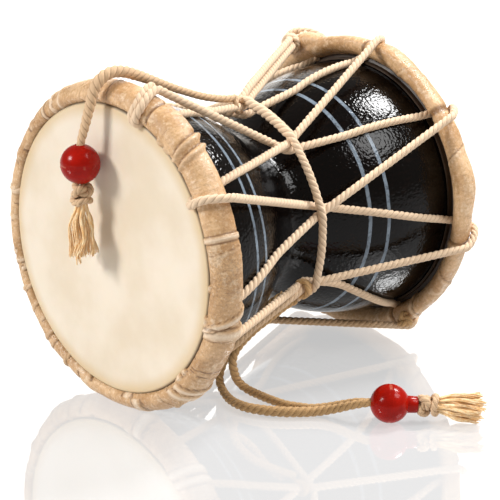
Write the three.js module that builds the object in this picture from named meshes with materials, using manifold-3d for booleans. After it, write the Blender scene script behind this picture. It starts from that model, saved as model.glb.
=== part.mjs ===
// Damaru: an hourglass hand drum laced with rope, lying on its two rims.
//
// Millimetres, +Z up. The drum's axis runs along X at the height of the rims' radius, the front
// skin faces -X, and the origin is on the floor under the middle of the drum. Places round the
// drum are given as an angle in degrees from the top, positive towards +Y, and a distance from
// the axis. The two strikers are knotted to the rope round the waist: one hangs over the front
// rim, the other lies on the floor at the -Y side.

import * as THREE from 'three';
import { mergeVertices } from 'three/addons/utils/BufferGeometryUtils.js';
import Module from 'manifold-3d';

const wasm = await Module();
wasm.setup();

// Driving dimensions.
const GAP = 0.3;                 // room kept between pieces that touch

const RIM_RADIUS = 75;           // outside of both rims
const RIM_PLANE = 77.85;         // middle plane of each rim, from the drum's middle
const RIM_LONG = 7.05;           // half of the rim section's long axis
const RIM_SHORT = 4.35;          // half of its short axis
const RIM_LEAN = 66.4;           // lean of the long axis: its outer end points back, in degrees
const RIM_FLAT = 0.5;            // depth of the flat spot that each rim rests on

const WAIST_X = -4;              // where the body is narrowest
const WAIST_RADIUS = 37.5;
const MOUTH_X = 81.9;            // ends of the wooden body
const MOUTH_RADIUS = 62.6;
const CUP_FULLNESS = 2.85;       // 1 makes straight cones, more makes rounder cups
const WAIST_SOFTNESS = 0.1;      // rounding of the notch at the waist
const WALL = 6;                  // thickness of the wood

const SKIN_X = 83.25;            // outer face of each skin
const SKIN_THICKNESS = 1;
const SKIN_EDGE = 3;             // rounding of the skin over the mouth
const SKIRT_X = 75;              // how far back the skin is turned down

const ROPE_RADIUS = 2.2;         // lacing and waist rope
const CORD_RADIUS = 2.8;         // striker cords where their strands are laid together
const LEG_RADIUS = 2.2;          // one strand of the lower striker's cord

const BEAD_RADIUS = 8.75;
const BEAD_BORE = 3.25;
const BEAD_RINGS = 7;
const NECK = 4.6;
const NECK_RADIUS = 3.85;

const ROPE_ON_RIM = 2.9;         // from the rim's surface to the middle of a rope that lies on it
const PROUD = 0.9;               // how far its turn is pressed into the hide,
const SUNK = 4;                  // or drawn down into it

// Where the lacing comes out of each rim, where it lies after its turn over the rim, and how it
// lies there.
const FRONT_WRAPS = [
  [30, 33, SUNK], [-21, -15.5, PROUD], [-57, -55.5, PROUD], [-106, -112, SUNK],
  [-138, -152, SUNK], [-208, -208, SUNK], [-242, -242, SUNK], [-282.6, -282.6, SUNK],
];
const REAR_WRAPS = [
  [24, 28, PROUD], [-5, -13, PROUD], [-48, -55, PROUD], [-95, -102.6, PROUD],
  [-145, -147, PROUD], [-208, -208, PROUD], [-243, -243, PROUD], [-282.6, -282.6, PROUD],
];

// Where the strands pass the waist: those that come from the front rim lie underneath.
const UNDER_STRANDS = [-5, -40.5, -73.5, -116.5, -180, -225, -263, -308];
const OVER_STRANDS = [-5, -40.5, -78.5, -116.5, -180, -225, -263, -308];
const UNDER_RADIUS = 46.4;
const OVER_RADIUS = 51.8;
const WAIST_ROPE = 57.1;         // waist rope, over both

const ROPE_SIDES = 5;
const CORD_SIDES = 8;
const RIM_SIDES = 9;
const LEG_STEPS = 3;
const SEGMENTS = 32;             // facets round the drum

const RAD = Math.PI / 180;

// A point in the drum's own frame, whose origin is on the axis.
function round(x, radius, degrees) {
  return new THREE.Vector3(x, radius * Math.sin(degrees * RAD), radius * Math.cos(degrees * RAD));
}

// A route whose corners are the given points, so the spacing of the points is the spacing of
// the tube's rings.
class Route extends THREE.Curve {
  constructor(points) {
    super();
    this.points = points;
  }

  getPoint(t, target = new THREE.Vector3()) {
    const place = t * (this.points.length - 1);
    const first = Math.min(Math.floor(place), this.points.length - 2);
    return target.lerpVectors(this.points[first], this.points[first + 1], place - first);
  }

  getTangent(t, target = new THREE.Vector3()) {
    const place = Math.round(t * (this.points.length - 1));
    const before = this.points[Math.max(place - 1, 0)];
    const after = this.points[Math.min(place + 1, this.points.length - 1)];
    return target.subVectors(after, before).normalize();
  }

  getUtoTmapping(u) {
    return u;
  }
}

// A rope along a list of points, as a closed solid.
function rope(points, radius, sides) {
  const section = new THREE.Shape();
  section.absarc(0, 0, radius, 0, 2 * Math.PI);
  return new THREE.ExtrudeGeometry(section, {
    steps: points.length - 1,
    curveSegments: sides / 2,
    extrudePath: new Route(points),
  });
}

// A smooth curve through hand-set points, as evenly spaced points.
function smooth(points, steps, closed = false) {
  const curve = new THREE.CatmullRomCurve3(points, closed, 'centripetal');
  return curve.getSpacedPoints(steps);
}

// A closed profile of [x, radius] pairs turned round the drum's axis.
function turned(profile, segments) {
  const points = profile.map(([x, radius]) => new THREE.Vector2(radius, x));
  return new THREE.LatheGeometry(points, segments).rotateZ(-Math.PI / 2);
}

function solid(geometry) {
  const bare = geometry.index ? geometry.toNonIndexed() : geometry.clone();
  bare.deleteAttribute('normal');
  bare.deleteAttribute('uv');
  const merged = mergeVertices(bare, 1e-4);
  return new wasm.Manifold(new wasm.Mesh({
    numProp: 3,
    vertProperties: new Float32Array(merged.attributes.position.array),
    triVerts: new Uint32Array(merged.index.array),
  }));
}

function geometryOf(manifold) {
  const mesh = manifold.getMesh();
  const geometry = new THREE.BufferGeometry();
  geometry.setAttribute('position', new THREE.BufferAttribute(mesh.vertProperties, 3));
  geometry.setIndex(new THREE.BufferAttribute(mesh.triVerts, 1));
  geometry.computeVertexNormals();
  return geometry;
}

function cut(geometry, cutters) {
  return geometryOf(cutters.reduce((left, cutter) => left.subtract(solid(cutter)), solid(geometry)));
}

// Outside radius of the wooden body: two round cups that meet at a softened notch.
function bodyRadius(x) {
  const side = Math.sign(x - WAIST_X) || 1;
  const length = side * (side * MOUTH_X - WAIST_X);
  const along = Math.abs(x - WAIST_X) / length;
  const soft = Math.hypot(along, WAIST_SOFTNESS) - WAIST_SOFTNESS;
  const full = Math.min(soft / (Math.hypot(1, WAIST_SOFTNESS) - WAIST_SOFTNESS), 1);
  return WAIST_RADIUS + (MOUTH_RADIUS - WAIST_RADIUS) * (1 - (1 - full) ** CUP_FULLNESS);
}

// The body is one hollow turning, open at both mouths.
function body() {
  const outer = [-MOUTH_X, -52, -33, -18, WAIST_X, 10, 25, 46, MOUTH_X];
  const inner = [MOUTH_X, 40, WAIST_X, -46, -MOUTH_X];
  const profile = [
    ...outer.map((x) => [x, bodyRadius(x)]),
    ...inner.map((x) => [x, bodyRadius(x) - WALL]),
  ];
  return turned([...profile, profile[0]], SEGMENTS);
}

// A skin: a disc over the mouth, rounded over its edge and turned down outside the wood.
function skin(side) {
  const inside = MOUTH_RADIUS + GAP;
  const outside = inside + SKIN_THICKNESS;
  const back = SKIN_X - SKIN_THICKNESS;
  const outline = [[SKIN_X, 0]];
  for (let step = 0; step <= 2; step += 1) {
    const turn = step * 45 * RAD;
    outline.push([
      SKIN_X - SKIN_EDGE * (1 - Math.cos(turn)) * 0.5,
      outside - SKIN_EDGE * (1 - Math.sin(turn)),
    ]);
  }
  outline.push([SKIRT_X, outside], [SKIRT_X, inside], [back, inside], [back, 0]);
  const profile = side > 0 ? outline.reverse() : outline.map(([x, radius]) => [-x, radius]);
  return turned(profile, SEGMENTS);
}

// A point on the rim's oval section, or that far off it, as [distance from axis, distance
// outwards from the rim's plane].
function rimSection(degrees, off = 0) {
  const lean = RIM_LEAN * RAD;
  const long = [Math.cos(lean), -Math.sin(lean)];
  const short = [Math.sin(lean), Math.cos(lean)];
  const centre = RIM_RADIUS - Math.hypot(RIM_LONG * long[0], RIM_SHORT * short[0]);
  const [c, s] = [Math.cos(degrees * RAD), Math.sin(degrees * RAD)];
  const length = Math.hypot(RIM_SHORT * c, RIM_LONG * s);
  const a = RIM_LONG * c + off * RIM_SHORT * c / length;
  const b = RIM_SHORT * s + off * RIM_LONG * s / length;
  return [centre + a * long[0] + b * short[0], a * long[1] + b * short[1]];
}

// A rim: a hide-covered hoop, with a small flat underneath so that the drum can't roll.
function rim(side, wraps) {
  const profile = [];
  for (let step = 0; step <= RIM_SIDES; step += 1) {
    const [radius, out] = rimSection(side * step * 360 / RIM_SIDES);
    profile.push([side * (RIM_PLANE + out), radius]);
  }
  const floor = new THREE.BoxGeometry(40, 80, 10);
  floor.translate(side * RIM_PLANE, 0, -RIM_RADIUS + RIM_FLAT - 5);
  return cut(turned(profile, SEGMENTS), [floor, ...lacingGrooves(side, wraps)]);
}

// The lacing's turn round a rim, from the inside, over the front and the outside, to the back.
function wrapPoints(side, [inner, outer, sink]) {
  const innermost = MOUTH_RADIUS + ROPE_RADIUS + 2 * GAP;
  const turns = [262, 216, 174, 130, 82, 38];
  return turns.map((turn, place) => {
    const done = place / (turns.length - 1);
    const [radius, out] = rimSection(turn, ROPE_ON_RIM - sink * Math.sin(done * Math.PI));
    const degrees = inner + (outer - inner) * done ** 2;
    return round(side * (RIM_PLANE + out), Math.max(radius, innermost), degrees);
  });
}

// The room that the lacing takes where it passes a rim and the turned-down skin.
function lacingGrooves(side, wraps) {
  const innermost = MOUTH_RADIUS + ROPE_RADIUS + 2 * GAP;
  const room = (ROPE_RADIUS + GAP) / Math.cos(Math.PI / ROPE_SIDES);
  return wraps.map((wrap) => {
    const start = round(side * (RIM_PLANE - 12), innermost, wrap[0]);
    return rope([start, ...wrapPoints(side, wrap)], room, ROPE_SIDES);
  });
}

// One leg of the lacing between two points, kept off the body where the cups stand in its way.
function leg(from, to, steps) {
  const points = [];
  for (let step = 1; step < steps; step += 1) {
    const point = new THREE.Vector3().lerpVectors(from, to, step / steps);
    const radius = Math.hypot(point.y, point.z);
    const least = bodyRadius(point.x) + ROPE_RADIUS + 4 * GAP;
    const push = Math.max(1, least / radius);
    points.push(new THREE.Vector3(point.x, point.y * push, point.z * push));
  }
  return points;
}

// The lacing is two ropes. Each zigzags once round the drum, from rim to rim, and they cross
// each other under the waist rope.
function lacing(first) {
  const sides = [
    { side: -1, wraps: FRONT_WRAPS },
    { side: 1, wraps: REAR_WRAPS },
  ];
  const count = OVER_STRANDS.length;
  const crossing = (index, fromSide) => {
    const place = (index + count) % count;
    return fromSide < 0
      ? round(WAIST_X, UNDER_RADIUS, UNDER_STRANDS[place])
      : round(WAIST_X, OVER_RADIUS, OVER_STRANDS[place]);
  };
  const points = [];
  for (let index = 0; index < count; index += 1) {
    const { side, wraps } = sides[(first + index) % 2];
    const wrap = wrapPoints(side, wraps[index]);
    const before = crossing(index - 1, -side);
    const after = crossing(index, side);
    points.push(before, ...leg(before, wrap[0], LEG_STEPS), ...wrap);
    points.push(...leg(wrap[wrap.length - 1], after, LEG_STEPS));
  }
  const last = points[points.length - 1];
  const start = points[0];
  const end = new THREE.Vector3().lerpVectors(start, last, 0.4 / start.distanceTo(last));
  return rope([...points, end], ROPE_RADIUS, ROPE_SIDES);
}

// The point of the waist rope's turn where its ends meet.
const WAIST_JOIN = 33;

// The waist rope: one turn, drawn tight over the crossings, its ends meeting at the far side.
function waistRope() {
  const corners = OVER_STRANDS.map((degrees) => round(WAIST_X, WAIST_ROPE, degrees));
  const points = [];
  corners.forEach((corner, index) => {
    const next = corners[(index + 1) % corners.length];
    for (let step = 0; step < 5; step += 1) {
      const point = new THREE.Vector3().lerpVectors(corner, next, step / 5);
      const slack = 1 + 0.035 * Math.sin(step / 5 * Math.PI);
      points.push(new THREE.Vector3(point.x, point.y * slack, point.z * slack));
    }
  });
  const ring = [...points.slice(WAIST_JOIN), ...points.slice(0, WAIST_JOIN)];
  const end = new THREE.Vector3().lerpVectors(ring[0], ring[ring.length - 1], 0.05);
  return rope([...ring, end], ROPE_RADIUS, ROPE_SIDES);
}

// Striker cord over the front rim: floor frame, from the waist rope into the knot.
const UPPER_CORD = [
  [-9.6, -4.6, 132.2], [-14.6, -4, 132.4], [-22, -3.6, 133.8], [-30, -3.2, 136.0],
  [-37.5, -3, 138.7], [-45, -3, 141.6], [-52, -3, 144.5], [-59.4, -3, 147.6],
  [-66.5, -3, 150.5], [-73.6, -2.6, 153.0], [-80.2, -2.0, 153.6], [-85.8, -1.4, 151.4],
  [-89.0, -0.8, 147.0], [-90.6, -0.2, 141.4], [-91.8, 0.8, 135.6], [-92.8, 1.9, 130.2],
  [-93.7, 2.9, 125.5], [-94, 3.8, 120], [-94, 3.8, 114.8], [-94, 3.8, 106.4],
];
const UPPER_BEAD = [-94, 3.8, 114.8];
const UPPER_KNOT = [-94, 3.8, 105.9];

// Lower striker: the outer strand and the laid cord, then the inner strand, which joins it.
const LOWER_CORD = [
  [-12, -39, 46], [-16.4, -35.6, 42.4], [-18.4, -31, 37.4], [-21, -27.2, 31.6],
  [-26, -25.4, 26.2], [-31.6, -24.2, 22], [-36, -24.2, 16], [-38.6, -24, 10.4],
  [-39.8, -25.4, 5.8], [-42.2, -31.2, 3.2], [-45.2, -39.6, 2.9], [-45.4, -48, 2.9],
  [-42.4, -55.8, 2.9], [-37.8, -62.6, 2.9], [-32, -68.8, 2.9], [-26, -74, 3.1],
  [-21, -79.9, 4.6], [-17, -86.9, 7.3], [-12.8, -93.5, 9.2], [-6.8, -99.6, 8.95],
  [0.8, -107.3, 8.55],
];
const LOWER_LEG = [
  [-9.8, -44.6, 44.4], [-14.6, -42, 41.8], [-21.6, -39.8, 37.6], [-28.4, -37, 33],
  [-33, -33.8, 27.6], [-35.8, -31.4, 22.4], [-37, -30.8, 17.4], [-35.8, -30.6, 12.2],
  [-33.4, -29.8, 7.6], [-31, -30.6, 4.2], [-30.2, -34.4, 2.6], [-30.6, -40.6, 2.5],
  [-30.8, -49, 2.5], [-30.2, -57.2, 2.5], [-27.4, -64, 2.5],
];
const LOWER_BEAD = [-6.8, -99.6, 8.95];
const LOWER_KNOT = [2.3, -108.4, 8.5];

function vectors(list) {
  return list.map(([x, y, z]) => new THREE.Vector3(x, y, z));
}

function cord(list, steps, radius) {
  return rope(smooth(vectors(list), steps), radius, CORD_SIDES);
}

// A bead, bored along its own Y axis, with a neck of the given length at its +Y end.
function bead(neck) {
  const first = Math.asin(BEAD_BORE / BEAD_RADIUS);
  const last = Math.PI - (neck > 0 ? Math.asin(NECK_RADIUS / BEAD_RADIUS) : first);
  const profile = [];
  for (let step = 0; step <= BEAD_RINGS; step += 1) {
    const turn = first + (last - first) * step / BEAD_RINGS;
    profile.push(new THREE.Vector2(BEAD_RADIUS * Math.sin(turn), -BEAD_RADIUS * Math.cos(turn)));
  }
  if (neck > 0) {
    const end = profile[BEAD_RINGS].y + neck;
    profile.push(new THREE.Vector2(NECK_RADIUS, end), new THREE.Vector2(BEAD_BORE, end));
  }
  return new THREE.LatheGeometry([...profile, profile[0]], 14);
}

// The knot under a bead and the frayed end of the cord, from the knot's top along its own +Y.
function knotAndTassel(flare, length) {
  const knot = 6;
  const outline = [
    [0, 0], [knot * 0.72, 0.6], [knot, knot], [knot * 0.7, knot * 1.9],
    [flare * 0.62, knot * 2.6], [flare, length * 0.82], [flare * 0.9, length], [0, length],
  ];
  return new THREE.LatheGeometry(outline.map(([r, y]) => new THREE.Vector2(r, y)), 12);
}

function finish(color, roughness) {
  return new THREE.MeshStandardMaterial({ color, roughness, metalness: 0 });
}

const LACQUER = finish(0x120d0c, 0.25);
const RAWHIDE = finish(0xe9d9bd, 0.6);
const HIDE = finish(0xcda27a, 0.6);
const ROPE = finish(0xd9bd94, 0.9);
const RED = finish(0xa31410, 0.2);

const damaru = new THREE.Group();
const drum = new THREE.Group();
drum.position.z = RIM_RADIUS - RIM_FLAT;
damaru.add(drum);

function add(parent, name, geometry, material) {
  const mesh = new THREE.Mesh(geometry, material.clone());
  mesh.name = name;
  parent.add(mesh);
  return mesh;
}

// Stands a piece that was modelled along +Y at a place, pointing in a direction.
function aim(mesh, place, direction) {
  mesh.position.set(...place);
  mesh.quaternion.setFromUnitVectors(new THREE.Vector3(0, 1, 0), direction.clone().normalize());
}

add(drum, 'body', body(), LACQUER);
add(drum, 'front_skin', cut(skin(-1), lacingGrooves(-1, FRONT_WRAPS)), RAWHIDE);
add(drum, 'rear_skin', cut(skin(1), lacingGrooves(1, REAR_WRAPS)), RAWHIDE);
add(drum, 'front_rim', rim(-1, FRONT_WRAPS), HIDE);
add(drum, 'rear_rim', rim(1, REAR_WRAPS), HIDE);
add(drum, 'lacing_rope_a', lacing(0), ROPE);
add(drum, 'lacing_rope_b', lacing(1), ROPE);
add(drum, 'waist_rope', waistRope(), ROPE);

const DOWN = new THREE.Vector3(0, 0, -1);
const OUTWARDS = new THREE.Vector3(0.7, -0.71, -0.04);
add(damaru, 'upper_striker_cord', cord(UPPER_CORD, 26, CORD_RADIUS), ROPE);
aim(add(damaru, 'upper_bead', bead(0), RED), UPPER_BEAD, DOWN);
aim(add(damaru, 'upper_knot_and_tassel', knotAndTassel(6.8, 34.2), ROPE), UPPER_KNOT, DOWN);
add(damaru, 'lower_striker_cord', cord(LOWER_CORD, 33, 2.6), ROPE);
add(damaru, 'lower_striker_strand', cord(LOWER_LEG, 21, LEG_RADIUS), ROPE);
aim(add(damaru, 'lower_bead', bead(NECK), RED), LOWER_BEAD, OUTWARDS);
aim(add(damaru, 'lower_knot_and_tassel', knotAndTassel(6.8, 29.2), ROPE), LOWER_KNOT, OUTWARDS);

export default damaru;
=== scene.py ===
# A laced hourglass drum lying on its two rims, with its two bead strikers.
#
# Metres, +Z up. The drum's axis runs along X at AXIS_Z and the front skin faces -X. A place round
# the drum is given as an angle in degrees from the top, positive towards +Y, and a distance from
# the axis. Lists of points are in millimetres.

import math
import random

import bpy
from mathutils import Matrix, Vector, noise


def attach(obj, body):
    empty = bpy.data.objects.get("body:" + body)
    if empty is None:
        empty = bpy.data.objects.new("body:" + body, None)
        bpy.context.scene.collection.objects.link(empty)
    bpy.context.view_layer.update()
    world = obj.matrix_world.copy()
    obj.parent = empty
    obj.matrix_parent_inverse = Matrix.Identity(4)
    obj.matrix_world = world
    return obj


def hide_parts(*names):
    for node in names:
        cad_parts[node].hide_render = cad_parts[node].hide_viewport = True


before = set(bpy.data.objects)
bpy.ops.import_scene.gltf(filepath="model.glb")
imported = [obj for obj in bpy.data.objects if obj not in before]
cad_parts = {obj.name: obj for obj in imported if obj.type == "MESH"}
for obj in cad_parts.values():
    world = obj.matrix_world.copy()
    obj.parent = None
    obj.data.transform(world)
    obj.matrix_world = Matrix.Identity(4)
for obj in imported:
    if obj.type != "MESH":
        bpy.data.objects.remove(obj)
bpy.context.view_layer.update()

MM = 0.001
AXIS_Z = 74.5 * MM
TAU = 2 * math.pi


# ---------------------------------------------------------------- making, as by hand

def clear_selection():
    if bpy.context.object and bpy.context.object.mode != "OBJECT":
        bpy.ops.object.mode_set(mode="OBJECT")
    bpy.ops.object.select_all(action="DESELECT")


def choose(obj):
    clear_selection()
    obj.select_set(True)
    bpy.context.view_layer.objects.active = obj


def apply_modifiers(obj):
    choose(obj)
    for modifier in list(obj.modifiers):
        bpy.ops.object.modifier_apply(modifier=modifier.name)


def settle(obj, name):
    """Puts a piece's place into its mesh, and names it."""
    choose(obj)
    bpy.ops.object.transform_apply(location=True, rotation=True, scale=True)
    obj.name = name
    obj.data.name = name
    return obj


def face_outwards(obj):
    choose(obj)
    bpy.ops.object.mode_set(mode="EDIT")
    bpy.ops.mesh.select_all(action="SELECT")
    bpy.ops.mesh.remove_doubles(threshold=1e-6)
    bpy.ops.mesh.normals_make_consistent(inside=False)
    bpy.ops.object.mode_set(mode="OBJECT")


def smooth_faces(obj, degrees):
    choose(obj)
    bpy.ops.object.shade_smooth_by_angle(angle=math.radians(degrees))


def piece(obj, material, slot, *nodes):
    obj.data.materials.clear()
    obj.data.materials.append(material)
    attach(obj, "root")
    if nodes:
        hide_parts(*nodes)
    clear_selection()
    return obj


def point_layers(mesh, **kinds):
    """New attributes on a mesh's points, fetched by name once all of them are made."""
    for name, kind in kinds.items():
        mesh.attributes.new(name, kind, "POINT")
    return [mesh.attributes[name] for name in kinds]


def spun(spots, steps, centre, axis):
    """A line through places, drawn out from one point and spun into a shape round an axis."""
    clear_selection()
    bpy.ops.mesh.primitive_plane_add(size=MM, location=(0, 0, 0))
    bpy.ops.object.mode_set(mode="EDIT")
    bpy.ops.mesh.select_all(action="SELECT")
    bpy.ops.mesh.merge(type="CENTER")
    bpy.ops.transform.translate(value=spots[0])
    for before, after in zip(spots, spots[1:]):
        bpy.ops.mesh.extrude_region_move(TRANSFORM_OT_translate={"value": after - before})
    bpy.ops.mesh.select_all(action="SELECT")
    bpy.ops.mesh.spin(steps=steps, angle=TAU, center=centre, axis=axis)
    bpy.ops.object.mode_set(mode="OBJECT")
    obj = bpy.context.object
    face_outwards(obj)
    return obj


def turned(name, profile, steps):
    """A profile of (x, radius) pairs in millimetres, turned round the drum's axis."""
    spots = [Vector((x * MM, 0, AXIS_Z + radius * MM)) for x, radius in profile]
    return settle(spun(spots, steps, (0, 0, AXIS_Z), (1, 0, 0)), name)


def across(direction):
    """Two directions square to each other and to a given one."""
    side = direction.orthogonal().normalized()
    return side, direction.cross(side)


def around(x, radius, degrees):
    """A place round the drum, from millimetres to metres."""
    turn = math.radians(degrees)
    return Vector((x * MM, radius * MM * math.sin(turn), AXIS_Z + radius * MM * math.cos(turn)))


def ramp(value, low, high):
    """0 below low, 1 above high, and an easy slope between."""
    t = min(max((value - low) / (high - low), 0), 1)
    return t * t * (3 - 2 * t)


def hump(distance, width):
    """1 at 0, falling to 0 at width on either side."""
    t = min(abs(distance) / width, 1)
    return (1 - t * t) ** 2


# ---------------------------------------------------------------- ropes and cords

# Ropes are strands laid together. A lay is the length of one full turn, and a step the length from
# one ring of points to the next. The shares are of the rope's radius: a strand's own radius, and
# the depth at which a groove counts as full.
STRANDS = 3
STRAND_SHARE = 0.71
GROOVE_SHARE = 0.27
ROPE_LAY = 9 * MM
ROPE_STEP = 0.8 * MM
KNOT_LAY = 7 * MM
KNOT_STEP = 0.7 * MM


def smooth_route(points, spacing, closed=False):
    """Even steps along a smooth curve through hand-set points. A closed one ends a step short."""
    spots = [Vector(p) for p in points]
    count = len(spots)
    parts = 16
    dense = []
    for index in range(count if closed else count - 1):
        numbers = [index + k for k in (-1, 0, 1, 2)]
        if closed:
            numbers = [number % count for number in numbers]
        else:
            numbers = [min(max(number, 0), count - 1) for number in numbers]
        p0, p1, p2, p3 = [spots[number] for number in numbers]
        for step in range(parts):
            t = step / parts
            dense.append(0.5 * (2 * p1 + (p2 - p0) * t + (2 * p0 - 5 * p1 + 4 * p2 - p3) * t * t
                                + (3 * p1 - p0 - 3 * p2 + p3) * t ** 3))
    dense.append(spots[0] if closed else spots[-1])
    lengths = [0]
    for before, after in zip(dense, dense[1:]):
        lengths.append(lengths[-1] + (after - before).length)
    steps = max(int(round(lengths[-1] / spacing)), 2)
    route, place = [], 0
    for step in range(steps + 1):
        want = lengths[-1] * step / steps
        while place < len(lengths) - 2 and lengths[place + 1] < want:
            place += 1
        part = (want - lengths[place]) / max(lengths[place + 1] - lengths[place], 1e-9)
        route.append(dense[place].lerp(dense[place + 1], part))
    return route[:-1] if closed else route


def route_length(route):
    return sum((after - before).length for before, after in zip(route, route[1:]))


def curve_through(route):
    data = bpy.data.curves.new("route", "CURVE")
    data.dimensions = "3D"
    spline = data.splines.new("POLY")
    spline.points.add(len(route) - 1)
    for point, spot in zip(spline.points, route):
        point.co = (*spot, 1)
    curve = bpy.data.objects.new("route", data)
    bpy.context.scene.collection.objects.link(curve)
    return curve


def lobes(angle):
    """Outline of the strands laid together, as a share of the rope's radius."""
    off = 1 - STRAND_SHARE
    turn = (angle + math.pi / STRANDS) % (TAU / STRANDS) - math.pi / STRANDS
    return off * math.cos(turn) + math.sqrt(STRAND_SHARE ** 2 - (off * math.sin(turn)) ** 2)


def laid_rope(name, route, radius, lay_length=ROPE_LAY, sides=8, taper=None):
    """A twisted rope along a route: a lobed ring, screwed out straight and bent to the route.

    The attribute groove holds how deep each point lies between the strands."""
    length = route_length(route)
    clear_selection()
    bpy.ops.mesh.primitive_circle_add(
        vertices=STRANDS * sides, radius=radius, rotation=(0, math.pi / 2, 0))
    obj = settle(bpy.context.object, name)
    for vertex in obj.data.vertices:
        vertex.co *= lobes(math.atan2(vertex.co.z, vertex.co.y))
    screw = obj.modifiers.new("lay", "SCREW")
    screw.axis = "X"
    screw.angle = -TAU * length / lay_length
    screw.screw_offset = length
    screw.steps = screw.render_steps = int(length / ROPE_STEP)
    screw.use_smooth_shade = True
    apply_modifiers(obj)
    (groove,) = point_layers(obj.data, groove="FLOAT")
    for index, vertex in enumerate(obj.data.vertices):
        x, y, z = vertex.co
        groove.data[index].value = (1 - math.hypot(y, z) / radius) / GROOVE_SHARE
        swell = 1 + 0.05 * noise.noise(Vector((x * 260, y * 900, z * 900)))
        if taper:
            swell *= taper(x / length)
        vertex.co = (x, y * swell, z * swell)
    choose(obj)
    bpy.ops.object.mode_set(mode="EDIT")
    bpy.ops.mesh.select_all(action="SELECT")
    bpy.ops.mesh.fill_holes(sides=0)
    bpy.ops.mesh.normals_make_consistent(inside=False)
    bpy.ops.object.mode_set(mode="OBJECT")
    curve = curve_through(route)
    bend = obj.modifiers.new("route", "CURVE")
    bend.object = curve
    bend.deform_axis = "POS_X"
    apply_modifiers(obj)
    bpy.data.objects.remove(curve)
    return settle(obj, name)


# ---------------------------------------------------------------- materials

def new_material(name):
    material = bpy.data.materials.new(name)
    material.use_nodes = True
    tree = material.node_tree
    return material, tree, tree.nodes["Principled BSDF"]


def node(tree, kind, **settings):
    made = tree.nodes.new(kind)
    for key, value in settings.items():
        if key in made.inputs.keys():
            made.inputs[key].default_value = value
        else:
            setattr(made, key, value)
    return made


def link(tree, out, into):
    tree.links.new(out, into)


def coordinates(tree, layer=None, scale=(1, 1, 1)):
    """Object coordinates, or those that an attribute holds, stretched by a scale."""
    if layer:
        source = node(tree, "ShaderNodeAttribute", attribute_name=layer).outputs["Vector"]
    else:
        source = node(tree, "ShaderNodeTexCoord").outputs["Object"]
    mapping = node(tree, "ShaderNodeMapping")
    mapping.inputs["Scale"].default_value = scale
    link(tree, source, mapping.inputs["Vector"])
    return mapping.outputs["Vector"]


def object_axis(tree, axis):
    """How far along one axis a place lies, in metres."""
    split = node(tree, "ShaderNodeSeparateXYZ")
    link(tree, node(tree, "ShaderNodeTexCoord").outputs["Object"], split.inputs[0])
    return split.outputs[axis]


def attribute(tree, name):
    return node(tree, "ShaderNodeAttribute", attribute_name=name).outputs["Fac"]


def noise_value(tree, vector, scale, detail=3, roughness=0.5):
    made = node(tree, "ShaderNodeTexNoise", Scale=scale, Detail=detail, Roughness=roughness)
    link(tree, vector, made.inputs["Vector"])
    return made.outputs["Fac"]


def ease(tree, value, low, high, to_low=0.0, to_high=1.0):
    """to_low where a value is at low, to_high where it is at high, and an easy slope between."""
    made = node(tree, "ShaderNodeMapRange", interpolation_type="SMOOTHSTEP")
    settings = {"From Min": low, "From Max": high, "To Min": to_low, "To Max": to_high}
    for name, number in settings.items():
        made.inputs[name].default_value = number
    link(tree, value, made.inputs["Value"])
    return made.outputs["Result"]


def math_of(tree, operation, first, second=0):
    made = node(tree, "ShaderNodeMath", operation=operation)
    for socket, value in zip(made.inputs, (first, second)):
        if isinstance(value, (int, float)):
            socket.default_value = value
        else:
            link(tree, value, socket)
    return made.outputs[0]


def waver(tree, place, scale, detail, amount):
    """Noise that wanders to either side of 0."""
    centred = math_of(tree, "SUBTRACT", noise_value(tree, place, scale, detail), 0.5)
    return math_of(tree, "MULTIPLY", centred, amount)


def mix(tree, factor, first, second):
    made = node(tree, "ShaderNodeMix", data_type="RGBA", blend_type="MIX")
    link(tree, factor, made.inputs[0])
    for socket, value in ((made.inputs[6], first), (made.inputs[7], second)):
        if isinstance(value, tuple):
            socket.default_value = (*value, 1)
        else:
            link(tree, value, socket)
    return made.outputs[2]


def tint(tree, base, colour, value, low, high, to_low=0.0, to_high=1.0):
    """Lays a colour over a base by as much as a value eases to."""
    return mix(tree, ease(tree, value, low, high, to_low, to_high), base, colour)


def bump(tree, height, strength, distance, shader, before=None):
    made = node(tree, "ShaderNodeBump", Strength=strength, Distance=distance)
    link(tree, height, made.inputs["Height"])
    if before:
        link(tree, before, made.inputs["Normal"])
    if shader:
        link(tree, made.outputs["Normal"], shader.inputs["Normal"])
    return made.outputs["Normal"]


def rope_finish(name, fibre, deep, low_shade=None):
    """Soft twisted plant fibre, with painted shade between the strands.

    Given a colour for painted shade, it is browner low down, but hardly on the -Y side of the rear cup."""
    material, tree, shader = new_material(name)
    base = fibre
    # Painted shade: browner low down, where the lacing lies in the drum's shade.
    if low_shade:
        low = ease(tree, object_axis(tree, "Z"), 0.03, 0.06, 0.7, 0)
        front = ease(tree, object_axis(tree, "X"), -0.005, 0.01, 1, 0.2)
        beneath = ease(tree, object_axis(tree, "Y"), -0.042, -0.032, 0, 1)
        where = math_of(tree, "MAXIMUM", front, beneath)
        base = mix(tree, math_of(tree, "MULTIPLY", low, where), base, low_shade)
    # Painted shade: the deep colour darkens the grooves between the strands.
    base = tint(tree, base, deep, attribute(tree, "groove"), 0.35, 0.9, 0, 0.8)
    link(tree, base, shader.inputs["Base Color"])
    shader.inputs["Roughness"].default_value = 0.78
    shader.inputs["Sheen Weight"].default_value = 0.15
    return material


# The lacing's second colour is painted shade low down.
LACING = rope_finish("lacing_fibre", fibre=(0.7549, 0.5615, 0.3804), deep=(0.23, 0.11, 0.045),
                     low_shade=(0.50, 0.30, 0.135))
CORD = rope_finish("cord_fibre", fibre=(0.6660, 0.4504, 0.2650), deep=(0.14, 0.06, 0.02))
BROWN_CORD = rope_finish("brown_cord_fibre", fibre=(0.5639, 0.3417, 0.1464), deep=(0.12, 0.05, 0.016))


# ---------------------------------------------------------------- the striker cords

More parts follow.
